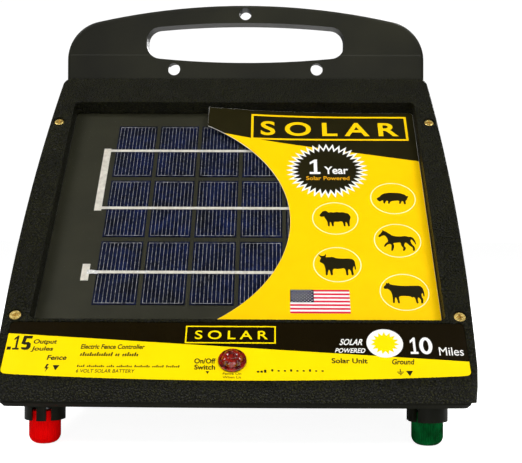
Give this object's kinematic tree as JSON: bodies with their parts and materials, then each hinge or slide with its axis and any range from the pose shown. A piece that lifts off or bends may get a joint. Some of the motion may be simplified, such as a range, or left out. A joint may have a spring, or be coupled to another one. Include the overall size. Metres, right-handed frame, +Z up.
{
  "type": "solar fence energizer",
  "caption": "Wall-hung wedge-shaped solar fence energizer with a sloping panel, slotted carrying handle, battery and pulse transformer inside, and two screw terminals below.",
  "frame": {"origin": "centre of the top hanging hole, on the wall plane at the back", "axes": "+Z up the wall, the front looks towards -Y, +X to the viewer's right"},
  "size_m": [0.2686, 0.2115, 0.2799],
  "materials": {
    "housing_black": "satin",
    "bezel_black": "matte",
    "seal_foam": "matte",
    "yellow_zinc": "satin",
    "printed_strip": "satin",
    "printed_card": "satin",
    "red_lens": "gloss",
    "tape_black": "matte",
    "laminate_dark": "satin",
    "silicon_blue": "satin",
    "tinned_ribbon": "satin",
    "clear_film": "gloss",
    "plated_nut": "satin",
    "led_red": "gloss",
    "collar_black": "satin",
    "zinc_steel": "satin",
    "knob_red": "satin",
    "knob_green": "satin",
    "brass_insert": "satin",
    "switch_black": "satin",
    "tinned_copper": "satin",
    "foam_pad": "matte",
    "battery_case": "satin",
    "strap_steel": "satin",
    "board_green": "satin",
    "capacitor_sleeve": "gloss",
    "ferrite": "matte",
    "anodised": "satin",
    "chip_epoxy": "matte",
    "resistor_body": "satin",
    "header_white": "satin",
    "core_steel": "matte",
    "bobbin_nylon": "satin",
    "enamelled_copper": "satin",
    "lead_pvc": "satin",
    "output_pvc": "satin"
  },
  "bodies": {
    "case": {"battery": "battery_case", "battery_leads": "lead_pvc", "battery_pad": "foam_pad", "battery_strap": "strap_steel", "battery_tabs": "tinned_copper", "bezel_screws": "yellow_zinc", "board_header": "header_white", "board_screws": "zinc_steel", "bus_ribbons": "tinned_ribbon", "carrying_handle": "housing_black", "charge_diodes": "chip_epoxy", "charge_inductor": "ferrite", "circuit_board": "board_green", "control_chip": "chip_epoxy", "display_card": "printed_card", "fence_collar": "collar_black", "fence_lug": "tinned_copper", "fence_stud": "zinc_steel", "front_bezel": "bezel_black", "front_label": "printed_strip", "ground_collar": "collar_black", "ground_lug": "tinned_copper", "ground_stud": "zinc_steel", "heat_sink": "anodised", "indicator_led": "led_red", "lamp_leads": "lead_pvc", "lamp_lens": "red_lens", "lamp_nut": "plated_nut", "output_leads": "output_pvc", "panel_backing": "laminate_dark", "panel_film": "clear_film", "panel_leads": "lead_pvc", "panel_tape": "tape_black", "rear_housing": "housing_black", "resistors": "resistor_body", "rim_gasket": "seal_foam", "small_capacitors": "capacitor_sleeve", "solar_cells": "silicon_blue", "spade_connectors": "tinned_copper", "storage_capacitor": "capacitor_sleeve", "strap_screws": "zinc_steel", "string_straps": "tinned_ribbon", "stud_nuts": "zinc_steel", "switch_blades": "tinned_copper", "switch_body": "switch_black", "switch_leads": "lead_pvc", "switch_pin": "zinc_steel", "thyristor": "chip_epoxy", "transformer_bobbin": "bobbin_nylon", "transformer_bracket": "strap_steel", "transformer_core": "core_steel", "transformer_screws": "zinc_steel", "transformer_winding": "enamelled_copper"},
    "rocker": {"switch_rocker": "switch_black"},
    "fence_clamp": {"fence_washer": "zinc_steel"},
    "fence_grip": {"fence_knob": "knob_red", "fence_insert": "brass_insert"},
    "ground_clamp": {"ground_washer": "zinc_steel"},
    "ground_grip": {"ground_knob": "knob_green", "ground_insert": "brass_insert"}
  },
  "joints": [
    {"name": "switch_rock", "type": "hinge", "parent": "case", "child": "rocker", "pos_m": [-0.015, -0.165, -0.25], "axis": [0, 1, 0], "range_deg": [0, 20]},
    {"name": "fence_clamp_travel", "type": "slide", "parent": "case", "child": "fence_clamp", "axis": [0, 0, -1], "range_m": [0, 0.005]},
    {"name": "fence_knob_turn", "type": "hinge", "parent": "fence_clamp", "child": "fence_grip", "pos_m": [-0.1057, -0.1895, -0.2548], "axis": [0, 0, -1], "range_deg": [0, 1440]},
    {"name": "ground_clamp_travel", "type": "slide", "parent": "case", "child": "ground_clamp", "axis": [0, 0, -1], "range_m": [0, 0.005]},
    {"name": "ground_knob_turn", "type": "hinge", "parent": "ground_clamp", "child": "ground_grip", "pos_m": [0.1057, -0.1895, -0.2548], "axis": [0, 0, -1], "range_deg": [0, 1440]}
  ],
  "couplings": [
    {"joint": "fence_clamp_travel", "follows": "fence_knob_turn", "m_per_rad": 0.00019894},
    {"joint": "ground_clamp_travel", "follows": "ground_knob_turn", "m_per_rad": 0.00019894}
  ]
}
